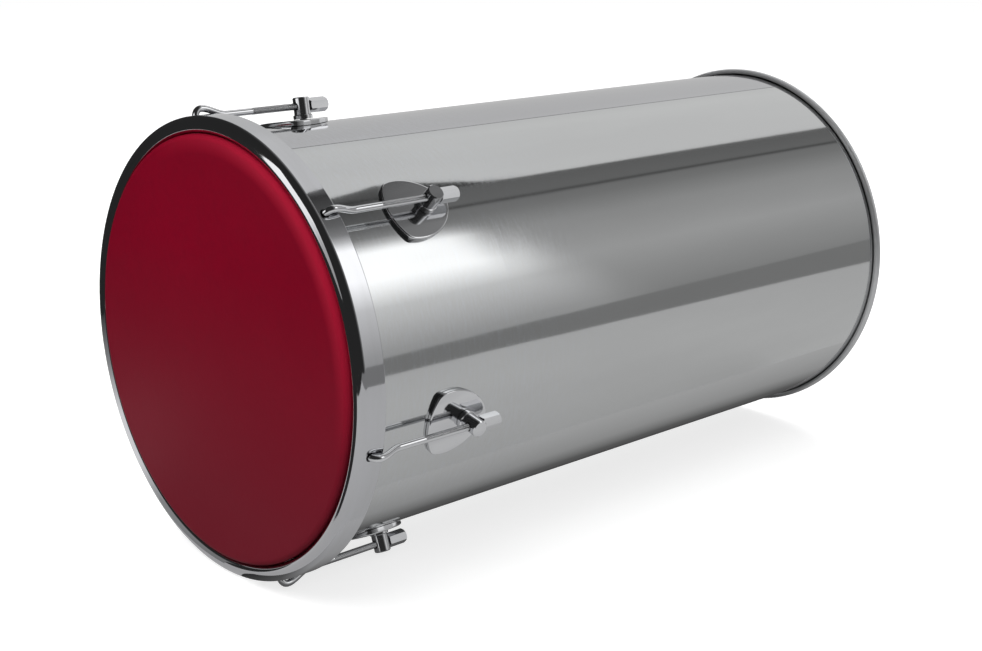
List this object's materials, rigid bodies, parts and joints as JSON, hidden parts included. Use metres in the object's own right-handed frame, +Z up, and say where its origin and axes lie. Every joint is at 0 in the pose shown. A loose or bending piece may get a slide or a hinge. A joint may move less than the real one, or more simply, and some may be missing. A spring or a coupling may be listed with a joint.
{
  "type": "rebolo drum",
  "caption": "Long aluminium hand drum with a red leatherette head, a chromed tension hoop, hooked tension rods and an open rear end, lying on its side.",
  "frame": {"origin": "on the floor under the middle of the drum's length, where the tension hoop rests", "axes": "+Y along the drum from the head to the open end, +Z up, +X to the right, seen from behind the head and along the drum"},
  "size_m": [0.3299, 0.5754, 0.3314],
  "materials": {
    "shell_aluminium": "polished rolled sheet",
    "edge_wire": "drawn wire",
    "head_napa": "fine-grained leatherette, satin",
    "hoop_chrome": "mirror-bright chrome plating",
    "flesh_hoop_aluminium": "plain drawn section",
    "hardware_chrome": "mirror-bright chrome plating",
    "fastener_zinc": "zinc plated"
  },
  "bodies": {
    "shell": {"shell": "shell_aluminium", "rear_edge_wire": "edge_wire", "drumhead": "head_napa", "lug_plate_1": "hardware_chrome", "lug_plate_2": "hardware_chrome", "lug_plate_3": "hardware_chrome", "lug_plate_4": "hardware_chrome", "lug_plate_5": "hardware_chrome", "lug_plate_6": "hardware_chrome", "lug_post_1": "hardware_chrome", "lug_post_2": "hardware_chrome", "lug_post_3": "hardware_chrome", "lug_post_4": "hardware_chrome", "lug_post_5": "hardware_chrome", "lug_post_6": "hardware_chrome", "lug_screw_1": "fastener_zinc", "lug_screw_2": "fastener_zinc", "lug_screw_3": "fastener_zinc", "lug_screw_4": "fastener_zinc", "lug_screw_5": "fastener_zinc", "lug_screw_6": "fastener_zinc", "lug_washer_1": "fastener_zinc", "lug_washer_2": "fastener_zinc", "lug_washer_3": "fastener_zinc", "lug_washer_4": "fastener_zinc", "lug_washer_5": "fastener_zinc", "lug_washer_6": "fastener_zinc"},
    "hoop": {"tension_hoop": "hoop_chrome", "flesh_hoop": "flesh_hoop_aluminium", "tension_rod_1": "hardware_chrome", "tension_rod_2": "hardware_chrome", "tension_rod_3": "hardware_chrome", "tension_rod_4": "hardware_chrome", "tension_rod_5": "hardware_chrome", "tension_rod_6": "hardware_chrome"},
    "nut_1": {"tension_nut_1": "hardware_chrome"},
    "nut_2": {"tension_nut_2": "hardware_chrome"},
    "nut_3": {"tension_nut_3": "hardware_chrome"},
    "nut_4": {"tension_nut_4": "hardware_chrome"},
    "nut_5": {"tension_nut_5": "hardware_chrome"},
    "nut_6": {"tension_nut_6": "hardware_chrome"}
  },
  "joints": [
    {"name": "hoop_slide", "type": "slide", "parent": "shell", "child": "hoop", "axis": [0, 1, 0], "range_m": [-0.003, 0.003]},
    {"name": "nut_turn_1", "type": "hinge", "parent": "shell", "child": "nut_1", "pos_m": [-0.02823, -0.1762, 0.32413], "axis": [0, 1, 0], "range_deg": [-1082, 1082]},
    {"name": "nut_turn_2", "type": "hinge", "parent": "shell", "child": "nut_2", "pos_m": [0.11696, -0.1762, 0.27695], "axis": [0, 1, 0], "range_deg": [-1082, 1082]},
    {"name": "nut_turn_3", "type": "hinge", "parent": "shell", "child": "nut_3", "pos_m": [0.15843, -0.1762, 0.12742], "axis": [0, 1, 0], "range_deg": [-1082, 1082]},
    {"name": "nut_turn_4", "type": "hinge", "parent": "shell", "child": "nut_4", "pos_m": [0.05561, -0.1762, 0.01121], "axis": [0, 1, 0], "range_deg": [-1082, 1082]},
    {"name": "nut_turn_5", "type": "hinge", "parent": "shell", "child": "nut_5", "pos_m": [-0.11089, -0.1762, 0.04508], "axis": [0, 1, 0], "range_deg": [-1082, 1082]},
    {"name": "nut_turn_6", "type": "hinge", "parent": "shell", "child": "nut_6", "pos_m": [-0.1563, -0.1762, 0.20882], "axis": [0, 1, 0], "range_deg": [-1082, 1082]}
  ],
  "couplings": [
    {"joint": "nut_turn_1", "follows": "hoop_slide", "rad_per_m": -6283.2},
    {"joint": "nut_turn_2", "follows": "hoop_slide", "rad_per_m": -6283.2},
    {"joint": "nut_turn_3", "follows": "hoop_slide", "rad_per_m": -6283.2},
    {"joint": "nut_turn_4", "follows": "hoop_slide", "rad_per_m": -6283.2},
    {"joint": "nut_turn_5", "follows": "hoop_slide", "rad_per_m": -6283.2},
    {"joint": "nut_turn_6", "follows": "hoop_slide", "rad_per_m": -6283.2}
  ]
}
